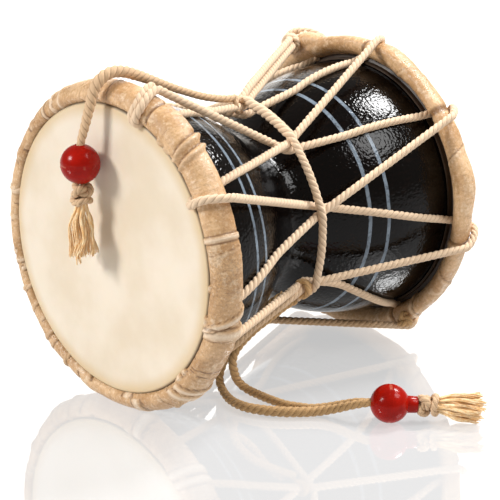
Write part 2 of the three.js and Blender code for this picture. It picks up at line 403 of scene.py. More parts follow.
UPPER_CORD = [
    (-9.6, -4.6, 132.2), (-14.6, -4, 132.4), (-22, -3.6, 133.8), (-30, -3.2, 136.0),
    (-37.5, -3, 138.7), (-45, -3, 141.6), (-52, -3, 144.5), (-59.4, -3, 147.6),
    (-66.5, -3, 150.5), (-73.6, -2.6, 153.0), (-80.2, -2.0, 153.6), (-85.8, -1.4, 151.4),
    (-89.0, -0.8, 147.0), (-90.6, -0.2, 141.4), (-91.8, 0.8, 135.6), (-92.8, 1.9, 130.2),
    (-93.7, 2.9, 125.5), (-94, 3.8, 120), (-94, 3.8, 114.8), (-94, 3.8, 106.4),
]
LOWER_CORD = [
    (-12, -39, 46), (-16.4, -35.6, 42.4), (-18.4, -31, 37.4), (-21, -27.2, 31.6),
    (-26, -25.4, 26.2), (-31.6, -24.2, 22), (-36, -24.2, 16), (-38.6, -24, 10.4),
    (-39.8, -25.4, 5.8), (-42.2, -31.2, 3.2), (-45.2, -39.6, 2.9), (-45.4, -48, 2.9),
    (-42.4, -55.8, 2.9), (-37.8, -62.6, 2.9), (-32, -68.8, 2.9), (-26, -74, 3.1),
    (-21, -79.9, 4.6), (-17, -86.9, 7.3), (-12.8, -93.5, 9.2), (-6.8, -99.6, 8.95),
    (0.8, -107.3, 8.55),
]
LOWER_LEG = [
    (-9.8, -44.6, 44.4), (-14.6, -42, 41.8), (-21.6, -39.8, 37.6), (-28.4, -37, 33),
    (-33, -33.8, 27.6), (-35.8, -31.4, 22.4), (-37, -30.8, 17.4), (-35.8, -30.6, 12.2),
    (-33.4, -29.8, 7.6), (-31, -30.6, 4.2), (-30.2, -34.4, 2.6), (-30.6, -40.6, 2.5),
    (-30.8, -49, 2.5), (-30.2, -57.2, 2.5), (-27.4, -64, 2.5),
]
# Where the inner strand goes on beside the cord, up to the bead.
ALONGSIDE = [
    (-25.4, -69.8, 3.0), (-21.4, -75.6, 4.3), (-18.0, -81.6, 6.6), (-14.8, -87.4, 8.7),
    (-11.4, -92.4, 9.2),
]
UPPER_BEAD = Vector((-94, 3.8, 114.8)) * MM
LOWER_BEAD = Vector((-6.8, -99.6, 8.95)) * MM
DOWN = Vector((0, 0, -1))
OUTWARDS = Vector((0.7, -0.71, -0.04)).normalized()
STRIKER_RADIUS = 2.5 * MM
STRAND_RADIUS = 2.1 * MM


def metres(points):
    return [Vector(point) * MM for point in points]


def striker_cord(name, solid, points, radius, taper, finish):
    route = smooth_route(metres(points), ROPE_STEP)
    obj = laid_rope(name, route, radius, taper=taper)
    piece(obj, finish, "striker_cord", solid)
    return obj, route


def upper_taper(share):
    """Thickest where it bends over the rim, and drawn tight at its knot and above the bead."""
    return 0.74 + 0.36 * hump(share - 0.58, 0.34) - 0.06 * ramp(share, 0.8, 0.95)


def lower_taper(share):
    """Thickest where it lies on the floor, and drawn tight above the bead."""
    return 0.82 + 0.18 * hump(share - 0.62, 0.25) - 0.12 * ramp(share, 0.8, 0.95)


def strand_taper(share):
    """Even, until it thins out beside the cord."""
    return 1 - 0.35 * ramp(share, 0.8, 1)


upper_cord, upper_route = striker_cord(
    "upper_cord", "upper_striker_cord", UPPER_CORD, STRIKER_RADIUS, upper_taper, CORD)
lower_cord, lower_route = striker_cord(
    "lower_cord", "lower_striker_cord", LOWER_CORD, STRIKER_RADIUS, lower_taper, BROWN_CORD)
lower_leg, leg_route = striker_cord(
    "lower_cord_strand", "lower_striker_strand", [*LOWER_LEG, *ALONGSIDE], STRAND_RADIUS,
    strand_taper, BROWN_CORD)


# ---------------------------------------------------------------- the drum's main sizes

# Millimetres. The body is two cups that meet at WAIST_X. A rim is a hoop whose outer radius is
# RIM_RADIUS. Its section is a leaning oval, RIM_PLANE out from the middle of the drum, and RIM_LONG
# and RIM_SHORT are half the oval's length and width.
WAIST_X = -4
BODY_END = 81.9
WAIST_RADIUS = 37.5
CUP_RADIUS = 62.6
CUP_CURVE = 2.85
NOTCH_SOFTNESS = 0.1
BODY_WALL = 6
RIM_RADIUS = 75
RIM_PLANE = 77.85
RIM_LONG = 7.05
RIM_SHORT = 4.35
RIM_LEAN = math.radians(66.4)
LEAN_COS = math.cos(RIM_LEAN)
LEAN_SIN = math.sin(RIM_LEAN)
SECTION_RADIUS = RIM_RADIUS - math.hypot(RIM_LONG * LEAN_COS, RIM_SHORT * LEAN_SIN)


def body_radius(x):
    """Outside of the wooden body: two cups that meet at a softened notch."""
    side = 1 if x > WAIST_X else -1
    length = BODY_END - side * WAIST_X
    soft = math.hypot(abs(x - WAIST_X) / length, NOTCH_SOFTNESS) - NOTCH_SOFTNESS
    full = min(soft / (math.hypot(1, NOTCH_SOFTNESS) - NOTCH_SOFTNESS), 1)
    return WAIST_RADIUS + (CUP_RADIUS - WAIST_RADIUS) * (1 - (1 - full) ** CUP_CURVE)


def rim_section(degrees, off=0):
    """A place on or off the rim's oval section: from the axis, and outwards of the rim's plane."""
    turn = math.radians(degrees)
    c, s = math.cos(turn), math.sin(turn)
    reach = math.hypot(RIM_SHORT * c, RIM_LONG * s)
    a = RIM_LONG * c + off * RIM_SHORT * c / reach
    b = RIM_SHORT * s + off * RIM_LONG * s / reach
    return SECTION_RADIUS + a * LEAN_COS + b * LEAN_SIN, -a * LEAN_SIN + b * LEAN_COS


# ---------------------------------------------------------------- lacing

# Each wrap: the degrees at which the rope comes through inside the rim, crosses the rim's face and
# leaves over its outer edge, and how many millimetres deep it is drawn into the hide. At COVERED
# the hide hides it, and below 0 it rides over a swelling.
COVERED = 4
FRONT_WRAPS = [
    (30, 31, 33, COVERED), (-22, -21, -18, 0.9), (-57, -60.5, -62.5, 0.9),
    (-106, -106, -110, COVERED), (-138, -138, -152, COVERED), (-208, -208, -208, COVERED),
    (-242, -242, -242, COVERED), (-282.6, -282.6, -282.6, COVERED),
]
REAR_WRAPS = [
    (24, 26, 28, -4.6), (-5, -8, -13, 0.9), (-48, -50, -55, 0.9), (-95, -98, -102.6, 0.9),
    (-151, -149, -147, 0.9), (-208, -208, -208, 0.9), (-243, -243, -243, 0.9),
    (-282.6, -282.6, -282.6, 0.9),
]
# Degrees round the rim's section that a wrap touches, from behind its inner edge over its face.
WRAP_TURNS = [262, 240, 216, 195, 174, 152, 130, 106, 82, 60, 38]
# Where the strands from the front rim and those from the rear rim pass the waist.
UNDER_STRANDS = [-6, -41.5, -73.5, -117.5, -180, -225, -263, -308]
OVER_STRANDS = [-4, -39.5, -78.8, -115.5, -182, -225, -263, -308]
UNDER_RADIUS = 49.3
OVER_RADIUS = 52.9
WAIST_ROPE = 55.9
# Degrees by which strands ride up as they bend over a cup, by side and number.
RIDE_UP = {(-1, 3): 2, (1, 4): 5.5}
ROPE_RADIUS = 1.95 * MM
# How far the rope's middle keeps off the rim's hide, off the body and off the axis, in millimetres.
OFF_HIDE = 2.9
OFF_BODY = 1.5
OFF_AXIS = 65.3


def wrap_points(side, wrap):
    inner, middle, outer, sink = wrap
    points = []
    for place, turn in enumerate(WRAP_TURNS):
        done = place / (len(WRAP_TURNS) - 1)
        depth = sink if sink >= COVERED else sink * math.sin(done * math.pi)
        radius, out = rim_section(turn, OFF_HIDE - depth)
        if done < 0.5:
            degrees = inner + (middle - inner) * ramp(done, 0, 0.4)
        else:
            degrees = middle + (outer - middle) * ramp(done, 0.55, 1)
        points.append(around(side * (RIM_PLANE + out), max(radius, OFF_AXIS), degrees))
    return points


def leg_points(start, end, ride_up=0):
    """Places along a strand, kept off the body, and ride_up degrees further round at its middle."""
    parts = 12
    points = []
    for step in range(1, parts):
        spot = start.lerp(end, step / parts)
        radius = math.hypot(spot.y, spot.z - AXIS_Z)
        push = max(1, (body_radius(spot.x / MM) + OFF_BODY) * MM / radius)
        angle = math.degrees(math.atan2(spot.y, spot.z - AXIS_Z))
        angle += ride_up * math.sin(step / parts * math.pi)
        points.append(around(spot.x / MM, radius * push / MM, angle))
    return points


def waist_place(index, from_front):
    index %= len(OVER_STRANDS)
    if from_front:
        return around(WAIST_X, UNDER_RADIUS, UNDER_STRANDS[index])
    return around(WAIST_X, OVER_RADIUS, OVER_STRANDS[index])


def lacing_route(first):
    """From rim to rim and all the way round, with every other wrap of each rim."""
    sides = [(-1, FRONT_WRAPS), (1, REAR_WRAPS)]
    points = []
    for index in range(len(FRONT_WRAPS)):
        side, wraps = sides[(first + index) % 2]
        wrap = wrap_points(side, wraps[index])
        before = waist_place(index - 1, side > 0)
        after = waist_place(index, side < 0)
        ride_up = RIDE_UP.get((side, index), 0)
        points += [before, *leg_points(before, wrap[0], ride_up), *wrap]
        points += leg_points(wrap[-1], after)
    return points


for first, letter in enumerate("ab"):
    route = smooth_route(lacing_route(first), ROPE_STEP, closed=True)
    rope = laid_rope(f"laced_rope_{letter}", route, ROPE_RADIUS)
    piece(rope, LACING, "straw_rope", f"lacing_rope_{letter}")


def waist_route():
    """From crossing to crossing, standing out a little in between."""
    corners = [around(WAIST_X, WAIST_ROPE, degrees) for degrees in OVER_STRANDS]
    parts = 5
    points = []
    for corner, after in zip(corners, [*corners[1:], corners[0]]):
        for step in range(parts):
            spot = corner.lerp(after, step / parts)
            bow = 1 + 0.035 * math.sin(step / parts * math.pi)
            points.append(Vector((spot.x, spot.y * bow, AXIS_Z + (spot.z - AXIS_Z) * bow)))
    return points


def waist_taper(share):
    """Thicker between the first two crossings, where it is doubled."""
    return 1 + 0.25 * ramp(share, 0, 0.01) * ramp(-share, -0.105, -0.09)


waist_rope = laid_rope(
    "waist_lashing", smooth_route(waist_route(), ROPE_STEP, closed=True), ROPE_RADIUS,
    taper=waist_taper)
piece(waist_rope, LACING, "straw_rope", "waist_rope")


# ---------------------------------------------------------------- knots in the lacing

def binding_route(center, direction, radius, rise, turns=1.08):
    """Turns round a direction, which wander a little along it."""
    side, other = across(direction)
    parts = 24
    points = []
    for step in range(parts + 1):
        t = TAU * step / parts * turns
        wave = rise * math.sin(2 * t / turns + 0.6)
        ring = side * radius * math.cos(t) + other * radius * math.sin(t)
        points.append(center + ring + direction * wave)
    return smooth_route(points, KNOT_STEP)


def knot_route(center, direction, size):
    """Three crossing turns round a direction."""
    side, other = across(direction)
    parts = 40
    points = []
    for step in range(parts):
        t = TAU * step / parts
        a = math.sin(t) + 2 * math.sin(2 * t)
        b = math.cos(t) - 2 * math.cos(2 * t)
        along = -1.25 * math.sin(3 * t)
        points.append(center + (side * a + other * b + direction * along) * size)
    return smooth_route(points, KNOT_STEP, closed=True)


def lashing(name, route, radius=ROPE_RADIUS, finish=LACING):
    piece(laid_rope(name, route, radius), finish, "straw_rope")


def beside_leg(start, end, lift):
    """Places along a strand that lies on another one, lift millimetres further out."""
    parts = 9
    points = []
    for step in range(1, parts):
        spot = start.lerp(end, step / parts)
        out = Vector((0, spot.y, spot.z - AXIS_Z)).normalized()
        points.append(spot + out * lift * MM)
    return points


# How the second strand on the rear rim goes over it: along the axis, from the axis, and degrees.
OVER_REAR_RIM = [
    (69.5, 78.5, 31), (72.5, 81.8, 31), (76.2, 83.2, 29.8), (79.8, 82.0, 28), (83.0, 79.7, 26),
    (86.0, 75.9, 24.2), (86.6, 72, 23), (86, 68.6, 22.2),
]


def rear_rim_lashings():
    """A second strand on the one that leaves the rear rim, and the turns that bind the two."""
    crossing = around(-1, 54.5, -1)
    leaves_rim = wrap_points(1, REAR_WRAPS[0])[-1]
    second = [around(-8, 53, -4), *beside_leg(crossing, leaves_rim, 3.4)]
    second += [around(*place) for place in OVER_REAR_RIM]
    lashing("rear_rim_second_strand", smooth_route(second, ROPE_STEP))
    lashing("rear_rim_knot", binding_route(
        around(68, 76.4, 27.8), (leaves_rim - crossing).normalized(), 3.7 * MM, 0.8 * MM, 1.6),
        1.8 * MM)


def crossing_turns():
    """The turns that tie the striker cords to the lacing, below and on top."""
    bundle = (around(-60, 69, -109) - around(WAIST_X, 52, -117)).normalized()
    lashing("lower_crossing_turn", binding_route(
        around(-8.5, 53.2, -117.5), bundle, 3.3 * MM, 1.1 * MM, 1.5), 1.5 * MM, BROWN_CORD)
    lashing("upper_crossing_turn", binding_route(
        around(-8.5, 54.6, -5), Vector((0.5, -1, -0.2)).normalized(), 2.9 * MM, 0.8 * MM, 1.9),
        1.35 * MM, CORD)


rear_rim_lashings()
lashing("front_rim_second_turn", smooth_route(wrap_points(-1, (-20.2, -18.6, -15.2, 1.4)), ROPE_STEP))
crossing_turns()
lashing("rear_rim_low_knot", knot_route(
    around(69.5, 74.5, -144.5), Vector((-0.8, -0.3, 0.3)).normalized(), 1.0 * MM),
    1.7 * MM, BROWN_CORD)


# ---------------------------------------------------------------- the wooden body

# The painted lines: their places along the axis, and half their width with and without their soft
# edges, in millimetres.
PAINTED_LINES = (-49.5, -42.4, 28.95, 38.4)
LINE_INNER = 0.72
LINE_OUTER = 0.98


def lacquer_finish():
    """Deep brown-black lacquer with an orange-peel skin, and four lines brushed round it."""
    material, tree, shader = new_material("black_lacquer")
    place = coordinates(tree)
    grain = noise_value(tree, coordinates(tree, scale=(120, 900, 900)), 1, 3)
    black = tint(tree, (0.0016, 0.0008, 0.0006), (0.007, 0.003, 0.002), grain, 0.5, 0.75, 0, 0.6)
    along = math_of(tree, "ADD", object_axis(tree, "X"), waver(tree, place, 55, 2, 0.0012))
    lines = None
    for x in PAINTED_LINES:
        away = math_of(tree, "ABSOLUTE", math_of(tree, "SUBTRACT", along, x * MM))
        line = ease(tree, away, LINE_INNER * MM, LINE_OUTER * MM, 1, 0)
        lines = line if lines is None else math_of(tree, "MAXIMUM", lines, line)
    wear = ease(tree, noise_value(tree, place, 420, 3, 0.7), 0.34, 0.5, 0.45, 1)
    paint = math_of(tree, "MULTIPLY", lines, wear)
    silver = mix(tree, noise_value(tree, place, 140, 2), (0.13, 0.165, 0.21), (0.24, 0.29, 0.34))
    link(tree, mix(tree, paint, black, silver), shader.inputs["Base Color"])
    roughness = ease(tree, noise_value(tree, place, 260, 3), 0.35, 0.7, 0.05, 0.13)
    link(tree, roughness, shader.inputs["Roughness"])
    shader.inputs["Specular IOR Level"].default_value = 0.19
    bump(tree, noise_value(tree, place, 640, 1.5, 0.5), 1, 0.00026, shader)
    return material


def drum_body():
    """Hollow and open at both ends: its outside from end to end, and its inside back again."""
    outside = [BODY_END * (step / 30 - 1) for step in range(61)]
    inside = [BODY_END * (1 - step / 12) for step in range(25)]
    profile = [(x, body_radius(x)) for x in outside]
    profile += [(x, body_radius(x) - BODY_WALL) for x in inside]
    obj = turned("drum_body", [*profile, profile[0]], 144)
    smooth_faces(obj, 40)
    return piece(obj, lacquer_finish(), "lacquered_wood", "body")


drum_body()


# ---------------------------------------------------------------- skins

SKIN_FACE = 83.7
SKIN_ROUND = 2.2
SKIN_EDGE = 66
# A radius so small that the points at the middle are merged.
NEAR_AXIS = 0.001


def skin_finish(name):
    """Scraped rawhide: cream, faintly clouded, browner where it turns over the edge, with painted shade
    where it meets the rim and on its lip.
    """
    material, tree, shader = new_material(name)
    place = coordinates(tree)
    cloud = noise_value(tree, place, 26, 4, 0.55)
    base = tint(tree, (0.76, 0.665, 0.54), (0.68, 0.57, 0.425), cloud, 0.35, 0.7)
    edge = math_of(tree, "ADD", attribute(tree, "edge"), waver(tree, place, 60, 3, 0.4))
    base = tint(tree, base, (0.60, 0.42, 0.20), edge, 0.15, 1.1, 0, 0.7)
    # Painted shade: near black in the crease by the rim and on the lip behind the face.
    base = mix(tree, attribute(tree, "gap"), base, (0.035, 0.018, 0.008))
    link(tree, base, shader.inputs["Base Color"])
    shader.inputs["Roughness"].default_value = 0.5
    shader.inputs["Subsurface Weight"].default_value = 0.12
    shader.inputs["Subsurface Radius"].default_value = (0.004, 0.002, 0.001)
    bump(tree, noise_value(tree, place, 900, 3, 0.6), 0.12, 0.0002, shader)
    return material


SKIN = skin_finish("rawhide")


def skin_profile():
    """(x, radius) pairs: the face, its rounded edge, the lip round the hoop, and the inside."""
    profile = [(SKIN_FACE, r) for r in (NEAR_AXIS, 6, 14, 24, 34, 44, 50, 54, 58, 61, 63)]
    for step in range(1, 9):
        turn = math.radians(90 * step / 8)
        profile.append((SKIN_FACE - SKIN_ROUND * (1 - math.cos(turn)),
                        SKIN_EDGE - SKIN_ROUND * (1 - math.sin(turn))))
    profile += [(80.2, 66.4), (79.4, 68), (78.6, 68), (78.4, 65.5), (77.4, 63.9), (75, 63.9)]
    profile += [(75, 62.95), (78, 62.95), (80.6, 62.9), (81.6, 61.0), (82.0, 58)]
    return [*profile, (82.25, 30), (82.25, NEAR_AXIS)]


def drum_skin(side, name, solid):
    obj = turned(name, [(side * x, r) for x, r in skin_profile()], 144)
    edge, gap = point_layers(obj.data, edge="FLOAT", gap="FLOAT")
    for index, vertex in enumerate(obj.data.vertices):
        radius = math.hypot(vertex.co.y, vertex.co.z - AXIS_Z)
        behind = SKIN_FACE * MM - abs(vertex.co.x)
        edge.data[index].value = ramp(radius, 55 * MM, 66 * MM)
        # Painted shade: the crease next to the rim, and the lip behind the face.
        gap.data[index].value = max(0.85 * ramp(radius, 64.5 * MM, 65.6 * MM),
                                    ramp(behind, 1.5 * MM, 2.4 * MM))
    smooth_faces(obj, 50)
    return piece(obj, SKIN, "rawhide", solid)


drum_skin(-1, "front_head", "front_skin")
drum_skin(1, "rear_head", "rear_skin")


# ---------------------------------------------------------------- rims

def hide_finish():
    """Hide drawn wet over a hoop: mottled tan, wrinkled across, with painted shade in its creases."""
    material, tree, shader = new_material("rim_hide")
    place = coordinates(tree)
    cloud = noise_value(tree, place, 75, 5, 0.68)
    pale = noise_value(tree, place, 150, 4, 0.7)
    fleck = noise_value(tree, place, 680, 3, 0.7)
    speckle = noise_value(tree, place, 900, 3, 0.75)
    grain = noise_value(tree, place, 1100, 4, 0.7)
    wrinkle = noise_value(tree, coordinates(tree, "round", (760, 90, 1)), 1, 4, 0.6)
    base = tint(tree, (0.70, 0.455, 0.245), (0.47, 0.26, 0.11), cloud, 0.36, 0.62)
    base = tint(tree, base, (0.86, 0.66, 0.44), pale, 0.52, 0.68, 0, 0.6)
    base = tint(tree, base, (0.92, 0.74, 0.54), fleck, 0.54, 0.66, 0, 0.35)
    base = tint(tree, base, (0.36, 0.19, 0.08), fleck, 0.36, 0.46, 0.4, 0)
    base = tint(tree, base, (0.30, 0.15, 0.06), wrinkle, 0.56, 0.72, 0, 0.5)
    stain = math_of(tree, "MULTIPLY", attribute(tree, "stain"), ease(tree, speckle, 0.42, 0.62))
    base = mix(tree, math_of(tree, "MULTIPLY", stain, 0.45), base, (0.24, 0.135, 0.07))
    band = math_of(tree, "MULTIPLY", attribute(tree, "band"), 0.7)
    base = mix(tree, band, base, (0.84, 0.69, 0.52))
    # Painted shade in the hide's creases, in its dents and beside its bands.
    base = tint(tree, base, (0.18, 0.085, 0.03), attribute(tree, "crease"), 0.1, 0.9, 0, 0.85)
    link(tree, base, shader.inputs["Base Color"])
    roughness = ease(tree, noise_value(tree, place, 400, 3), 0.35, 0.65, 0.25, 0.48)
    link(tree, roughness, shader.inputs["Roughness"])
    folds = bump(tree, wrinkle, 0.5, 0.0006, None)
    bump(tree, grain, 0.6, 0.0004, shader, folds)
    return material


HIDE = hide_finish()

# Marks in the hide: kind, degrees, half width in degrees, height in millimetres, slant in degrees
# from the inner to the outer edge.
FRONT_MARKS = [
    ("fold", 49, 2.2, 0.5, 5), ("fold", 62, 2.2, 0.5, -4), ("band", 78, 1.4, 0.4, 0),
    ("band", 104, 1.0, 0.35, 2), ("band", 107.5, 1.0, 0.35, 2), ("fold", 120, 1.2, 0.3, 4),
    ("swell", 141, 6, 0.7, 0), ("fold", 139, 1.4, 0.4, 0), ("fold", 143, 1.2, 0.3, 0),
    ("dent", 162, 1.2, 1.0, 4), ("swell", 167, 5, 0.7, 0), ("band", -166, 2.4, 0.6, -3),
    ("fold", -163, 0.8, 0.3, -3), ("fold", -169, 0.8, 0.3, -3),
    ("band", -136.4, 1.5, 1.1, 4), ("band", -140.6, 1.7, 1.2, 4), ("dent", -124.5, 0.6, 0.3, 2),
    ("dent", -127.5, 0.5, 0.25, -2), ("band", -103, 1.3, 1.0, 8), ("band", -107.4, 2.1, 1.3, 2),
    ("band", -74, 1.1, 0.5, 0), ("fold", -79, 0.8, 0.25, 3), ("fold", -41, 1.7, 1.5, 5),
    ("fold", -45, 1.6, 1.3, 5), ("swell", -31, 9, 0.9, 0), ("dent", -23.6, 1.0, 1.0, 3),
    ("swell", -112, 6, 0.4, 0), ("band", 26, 0.9, 0.4, 0), ("band", 31, 1.0, 0.5, 0),
    ("band", 37, 0.9, 0.4, 0), ("fold", 5, 1.2, 0.4, 4), ("fold", -2, 1.0, 0.3, 4),
    ("fold", 88, 1.2, 0.3, -4), ("fold", 128, 1.0, 0.3, 3), ("fold", -150, 1.0, 0.3, 3),
]
REAR_MARKS = [
    ("swell", 26, 7.5, 5.0, 0), ("swell", -20, 8, 1.5, 0), ("swell", -79, 9, 1.7, 0),
    ("swell", -153, 8, 1.4, 0), ("dent", -50, 2.4, 0.5, 0), ("dent", -8, 1.6, 0.5, 0),
    ("fold", -104, 2, 0.6, 0), ("fold", -143, 1.6, 0.7, 4), ("fold", -150, 1.6, 0.8, -4),
    ("swell", 75, 9, 1.4, 0), ("swell", 128, 9, 1.4, 0), ("fold", 95, 2, 0.6, 0),
    ("fold", 168, 2, 0.6, 0), ("fold", -34, 1.2, 0.3, 8), ("fold", -66, 1.2, 0.3, -6),
    ("fold", -122, 1.4, 0.4, 6),
]


def rim_mark(kind, away, width, height):
    """(rise in millimetres, band, painted shade in creases) of a mark at a distance in degrees from it."""
    # The third value is painted shade: beside a band, in the hollow of a fold and in a dent.
    here = hump(away, width)
    if kind == "swell":
        return height * hump(away, width * 1.6), 0, 0
    if kind == "band":
        edge = hump(abs(away) - width * 1.15, width * 0.35)
        rise = height * ramp(-abs(away), -width * 1.3, -width * 0.8)
        return rise - 0.25 * edge, here, 0.85 * edge
    if kind == "fold":
        crease = hump(away - width * 0.9, width * 0.55)
        return height * (here - 0.5 * crease), 0.25 * here, 0.8 * crease
    return -height * here, 0, here


def marks_at(marks, degrees, face, push_radius):
    """(rise, band, painted shade in creases) of all the marks together. Swellings rise only away from the
    axis.
    """
    rise, band, crease = 0, 0, 0
    for kind, where, width, height, slant in marks:
        away = (degrees - where - slant * (90 - face) / 180 + 180) % 360 - 180
        if abs(away) < width * 3:
            more, light, dark = rim_mark(kind, away, width, height)
            if kind == "swell":
                more *= ramp(push_radius, 0.1, 0.9)
            rise, band, crease = rise + more, max(band, light), max(crease, dark)
    return rise, band, crease


def section_place(radius, out):
    """Degrees round the rim's section, and which way is off it: from the axis, and outwards."""
    a = radius * LEAN_COS - out * LEAN_SIN
    b = radius * LEAN_SIN + out * LEAN_COS
    face = math.degrees(math.atan2(b / RIM_SHORT, a / RIM_LONG))
    off_a, off_b = a / RIM_LONG ** 2, b / RIM_SHORT ** 2
    size = math.hypot(off_a, off_b)
    off_a, off_b = off_a / size, off_b / size
    return face, off_a * LEAN_COS + off_b * LEAN_SIN, -off_a * LEAN_SIN + off_b * LEAN_COS


def drum_rim(side, name, solid, marks):
    """A smooth hoop, marked and left a little uneven, but plain where it stands on the floor."""
    section_steps = 40
    section = [rim_section(side * 360 * step / section_steps) for step in range(section_steps)]
    profile = [(side * (RIM_PLANE + out), radius) for radius, out in section]
    obj = turned(name, [*profile, profile[0]], 540)
    round_it, *layers = point_layers(
        obj.data, round="FLOAT_VECTOR", band="FLOAT", crease="FLOAT", stain="FLOAT")
    for index, vertex in enumerate(obj.data.vertices):
        x, y, z = vertex.co.x / MM, vertex.co.y / MM, (vertex.co.z - AXIS_Z) / MM
        degrees = math.degrees(math.atan2(y, z))
        radius, out = math.hypot(y, z), side * x - RIM_PLANE
        face, push_radius, push_out = section_place(radius - SECTION_RADIUS, out)
        rise, band, crease = marks_at(marks, degrees, face, push_radius)
        rise += 0.35 * noise.noise(Vector((x, y, z)) * 0.09)
        rise += 0.12 * noise.noise(Vector((x, y, z)) * 0.35)
        rise *= ramp(abs(abs(degrees) - 180), 4, 14)
        spot = around(side * (RIM_PLANE + out + rise * push_out), radius + rise * push_radius, degrees)
        spot.z = max(spot.z, 0.0)
        vertex.co = spot
        stain = min(hump(degrees + 88, 20) + 0.8 * hump(degrees + 122, 16), 1) if side < 0 else 0
        round_it.data[index].vector = (math.radians(degrees) * RIM_RADIUS * MM, face * 0.0001, 0)
        for layer, value in zip(layers, (band, crease, stain)):
            layer.data[index].value = value
    smooth_faces(obj, 60)
    return piece(obj, HIDE, "rim_hide", solid)


drum_rim(-1, "front_rim_hide", "front_rim", FRONT_MARKS)
drum_rim(1, "rear_rim_hide", "rear_rim", REAR_MARKS)


# ---------------------------------------------------------------- beads, knots and tassels

BEAD_RADIUS = 8.75
BORE_RADIUS = 2.1
NECK_RADIUS = 3.85


def bead_finish():
    """Deep red and glossy, with a painted highlight in pale patches along the seam."""
    material, tree, shader = new_material("red_bead")
    place = coordinates(tree)
    base = tint(tree, (0.38, 0.007, 0.002), (0.26, 0.004, 0.001), noise_value(tree, place, 120, 3), 0.3, 0.7)
    # Painted highlight: paler dashes along the moulded seam.
    highlight_patches = ease(tree, noise_value(tree, place, 260, 2), 0.5, 0.62)
    seam_highlight = math_of(tree, "MULTIPLY", attribute(tree, "seam"), highlight_patches)
    base = mix(tree, math_of(tree, "MULTIPLY", seam_highlight, 0.55), base, (0.62, 0.22, 0.14))
    link(tree, base, shader.inputs["Base Color"])
    shader.inputs["Roughness"].default_value = 0.2
    shader.inputs["Specular IOR Level"].default_value = 0.16
    bump(tree, noise_value(tree, place, 420, 2), 0.05, 0.0002, shader)
    return material


RED = bead_finish()


def bead_profile(neck):
    """Half a bead's section, as pairs of a radius and a place along its bore, in millimetres."""
    first = math.asin(BORE_RADIUS / BEAD_RADIUS)
    last = math.pi - (math.asin(NECK_RADIUS / BEAD_RADIUS) if neck else first)
    profile = []
    for step in range(37):
        turn = first + (last - first) * step / 36
        reach = BEAD_RADIUS - 0.14 * hump(turn - math.pi / 2, 0.08)
        profile.append((reach * math.sin(turn), -reach * math.cos(turn)))
    bottom, top = profile[0][1], profile[-1][1]
    if neck:
        profile += [(NECK_RADIUS, top + 0.4), (NECK_RADIUS - 0.1, top + neck - 0.3),
                    (NECK_RADIUS - 0.4, top + neck), (BORE_RADIUS, top + neck)]
        top += neck
    inside = BORE_RADIUS - 0.15
    return [*profile, (inside, top - 0.6), (inside, bottom + 0.6)]


def bead(name, solid, place, direction, neck=0):
    """A bored ball with a fine moulding seam round its middle, and a neck on its knot's side."""
    profile = bead_profile(neck)
    spots = metres([(radius, along, 0) for radius, along in [*profile, profile[0]]])
    obj = spun(spots, 64, (0, 0, 0), (0, 1, 0))
    (seam,) = point_layers(obj.data, seam="FLOAT")
    for index, vertex in enumerate(obj.data.vertices):
        seam.data[index].value = hump(vertex.co.y, 0.9 * MM)
    turn = Vector((0, 1, 0)).rotation_difference(direction).to_matrix().to_4x4()
    obj.matrix_world = Matrix.Translation(place) @ turn
    settle(obj, name)
    smooth_faces(obj, 50)
    return piece(obj, RED, "red_bead", solid)


upper_bead = bead("upper_red_bead", "upper_bead", UPPER_BEAD, DOWN)
lower_bead = bead("lower_red_bead", "lower_bead", LOWER_BEAD, OUTWARDS, 4.6)


def straw_finish():
    """Pale frayed fibre, whose tone changes from strand to strand."""
    material, tree, shader = new_material("frayed_straw")
    tone = noise_value(tree, coordinates(tree, "lay"), 9, 2)
    fine = noise_value(tree, coordinates(tree), 1500, 3, 0.6)
    base = tint(tree, (1.0, 0.80, 0.52), (0.84, 0.50, 0.19), tone, 0.3, 0.7)
    base = tint(tree, base, (0.50, 0.26, 0.09), fine, 0.45, 0.75, 0, 0.3)
    link(tree, base, shader.inputs["Base Color"])
    shader.inputs["Roughness"].default_value = 0.6
    shader.inputs["Sheen Weight"].default_value = 0.2
    return material


STRAW = straw_finish()
STRAW_STEPS = 12
BUNDLE_STRANDS = 11
# Each bundle starts this share of a turn on from the last, so that they fill the round evenly.
GOLDEN_SHARE = 0.382


def straight_strand():
    """One strand along +Y, with a radius of 1 and its rings 1 apart."""
    clear_selection()
    bpy.ops.mesh.primitive_circle_add(
        vertices=5, radius=1, rotation=(math.pi / 2, 0, 0), fill_type="NGON")
    strand = settle(bpy.context.object, "strand")
    choose(strand)
    bpy.ops.object.mode_set(mode="EDIT")
    bpy.ops.mesh.select_all(action="SELECT")
    for _ in range(STRAW_STEPS):
        bpy.ops.mesh.extrude_region_move(TRANSFORM_OT_translate={"value": (0, 1, 0)})
    bpy.ops.object.mode_set(mode="OBJECT")
    face_outwards(strand)
    return strand


def joined(parts):
    clear_selection()
    for part in parts:
        part.select_set(True)
    bpy.context.view_layer.objects.active = parts[0]
    bpy.ops.object.join()
    return bpy.context.object


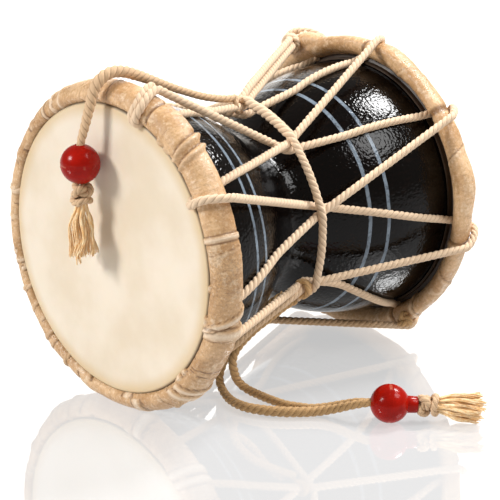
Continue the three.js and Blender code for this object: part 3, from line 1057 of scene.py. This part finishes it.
def tassel(start, direction, length, neck, flare, bundles, seed, floor=None):
    """Frayed strands in wavy bundles: one is modelled and each copy is bent along its own way."""
    draw = random.Random(seed)
    side, other = across(direction)
    strand = straight_strand()
    copies = []
    for bundle in range(bundles):
        angle = TAU * bundle * GOLDEN_SHARE
        out = math.sqrt((bundle + 0.3) / bundles)
        waves, phase = draw.uniform(0.9, 1.7), draw.uniform(0, TAU)
        swing = draw.uniform(0.4, 1.0) * MM
        reach_all, tone = draw.uniform(0.88, 1.0), draw.random()
        for index in range(BUNDLE_STRANDS):
            copy = bpy.data.objects.new(f"strand_{bundle}_{index}", strand.data.copy())
            bpy.context.scene.collection.objects.link(copy)
            own, own_out = draw.uniform(0, TAU), math.sqrt(draw.random())
            reach = length * reach_all * draw.uniform(0.93, 1.03)
            thick = draw.uniform(0.32, 0.5) * MM
            loose = draw.uniform(0.5, 1.3) * MM
            (lay,) = point_layers(copy.data, lay="FLOAT_VECTOR")
            for place, vertex in enumerate(copy.data.vertices):
                t = vertex.co.y / STRAW_STEPS
                width = neck + (flare - neck) * (0.75 * ramp(t, 0, 0.55) + 0.25 * t)
                wave = swing * ramp(t, 0, 0.3) * math.sin(waves * TAU * t + phase)
                apart = own_out * (0.45 * MM + loose * t * t)
                turn = angle + 0.3 * t
                along_side = out * width * math.cos(turn) + wave + apart * math.cos(own + 2.4 * t)
                along_other = out * width * math.sin(turn) - wave + apart * math.sin(own + 2.4 * t)
                shrink = thick * (1 - 0.45 * t)
                spot = start + direction * reach * t
                spot = spot + side * (along_side + vertex.co.x * shrink)
                spot = spot + other * (along_other + vertex.co.z * shrink)
                if floor is not None and spot.z < floor:
                    spot.z = floor + 0.02 * (spot.z - floor)
                vertex.co = spot
                lay.data[place].vector = (t + bundle * 0.37, tone * 7 + index * 0.4, out)
            copies.append(copy)
    bpy.data.objects.remove(strand)
    obj = joined(copies)
    smooth_faces(obj, 80)
    return obj


def knot_and_tassel(name, start, direction, length, neck, flare, size, bundles, seed, floor=None):
    """The cord's own end: a knot, a turn that binds it, and the frayed strands beyond it."""
    middle, bound, begin = [place * size * MM for place in (3.6, 7.4, 8.2)]
    knot = knot_route(start + direction * middle, direction, 1.12 * size * MM)
    turns = laid_rope(name + "_turns", knot, 1.75 * MM, KNOT_LAY, sides=6)
    ring = binding_route(start + direction * bound, direction, 3.1 * size * MM, 0.6 * MM)
    binding = laid_rope(name + "_binding", ring, 1.6 * MM, KNOT_LAY, sides=6)
    piece(turns, CORD, "striker_cord", name)
    piece(binding, CORD, "striker_cord")
    ends = tassel(start + direction * begin, direction, length - begin, neck, flare, bundles, seed, floor)
    ends.name = ends.data.name = name + "_strands"
    piece(ends, STRAW, "striker_cord")
    return [turns, binding, ends]


upper_end = knot_and_tassel(
    "upper_knot_and_tassel", Vector((-94, 3.8, 107.2)) * MM, DOWN, length=35.4 * MM,
    neck=2.3 * MM, flare=6.5 * MM, size=1.16, bundles=14, seed=3)
lower_end = knot_and_tassel(
    "lower_knot_and_tassel", Vector((1.0, -107.1, 8.6)) * MM, OUTWARDS, length=31 * MM,
    neck=3.2 * MM, flare=6.4 * MM, size=1.2, bundles=22, seed=5, floor=0.5 * MM)


# ---------------------------------------------------------------- floor, light and camera

CAMERA_PLACE = (-0.5042, -0.5204, 0.2873)
CAMERA_AIM = (0.0042, 0, 0.0549)
LENS = 114.42
SENSOR = 36

# Each light's name, kind, place, power, and size: degrees for the sun, metres for a disk.
LIGHTS = [
    ("key", "SUN", (-0.85, 0.36, 0.66), 2.7, 17),
    ("front", "AREA", (0.40, -0.80, 1.05), 9, 0.6),
    ("back", "AREA", (0.66, -0.14, 0.93), 13, 0.34),
]
LIGHT_AIM = (0, 0, 0.06)

# The room glows behind the drum: where, the cosines between which it fades in, and how strongly
# the room shines away from it and within it.
GLOW_DIRECTION = (0.68, 0.69, 0.25)
GLOW_FADE = (0.92, 0.968)
GLOW_STRENGTH = (0.3, 2.2)
ROOM_COLOUR = (1, 0.95, 0.885, 1)


def make_floor():
    """Wide, pale and smooth enough to mirror the drum."""
    clear_selection()
    bpy.ops.mesh.primitive_plane_add(size=40, location=(0, 0, 0))
    floor = settle(bpy.context.object, "floor")
    material, _, shader = new_material("pale_floor")
    shader.inputs["Base Color"].default_value = (0.20, 0.20, 0.203, 1)
    shader.inputs["Roughness"].default_value = 0.03
    shader.inputs["IOR"].default_value = 2.4
    shader.inputs["Emission Color"].default_value = (1, 1, 1, 1)
    shader.inputs["Emission Strength"].default_value = 0.53
    floor.data.materials.append(material)


def look_at(obj, target):
    direction = Vector(target) - obj.location
    obj.rotation_euler = direction.to_track_quat("-Z", "Y").to_euler()


def make_room():
    """A dim room that glows in one place."""
    world = bpy.data.worlds.new("studio")
    bpy.context.scene.world = world
    world.use_nodes = True
    tree = world.node_tree
    facing = node(tree, "ShaderNodeVectorMath", operation="DOT_PRODUCT")
    facing.inputs[1].default_value = GLOW_DIRECTION
    link(tree, node(tree, "ShaderNodeTexCoord").outputs["Generated"], facing.inputs[0])
    background = tree.nodes["Background"]
    background.inputs["Color"].default_value = ROOM_COLOUR
    glow = ease(tree, facing.outputs["Value"], *GLOW_FADE, *GLOW_STRENGTH)
    link(tree, glow, background.inputs["Strength"])


def make_light(name, kind, place, power, size):
    data = bpy.data.lights.new(name, kind)
    data.energy = power
    if kind == "SUN":
        data.angle = math.radians(size)
    else:
        data.shape = "DISK"
        data.size = size
    light = bpy.data.objects.new(name, data)
    bpy.context.scene.collection.objects.link(light)
    light.location = place
    look_at(light, LIGHT_AIM)


def make_camera():
    data = bpy.data.cameras.new("camera")
    data.sensor_width = SENSOR
    data.lens = LENS
    data.clip_start = 0.01
    camera = bpy.data.objects.new("camera", data)
    bpy.context.scene.collection.objects.link(camera)
    camera.location = CAMERA_PLACE
    look_at(camera, CAMERA_AIM)
    bpy.context.scene.camera = camera


make_floor()
make_room()
for light in LIGHTS:
    make_light(*light)
make_camera()
bpy.context.scene.view_settings.view_transform = "Standard"
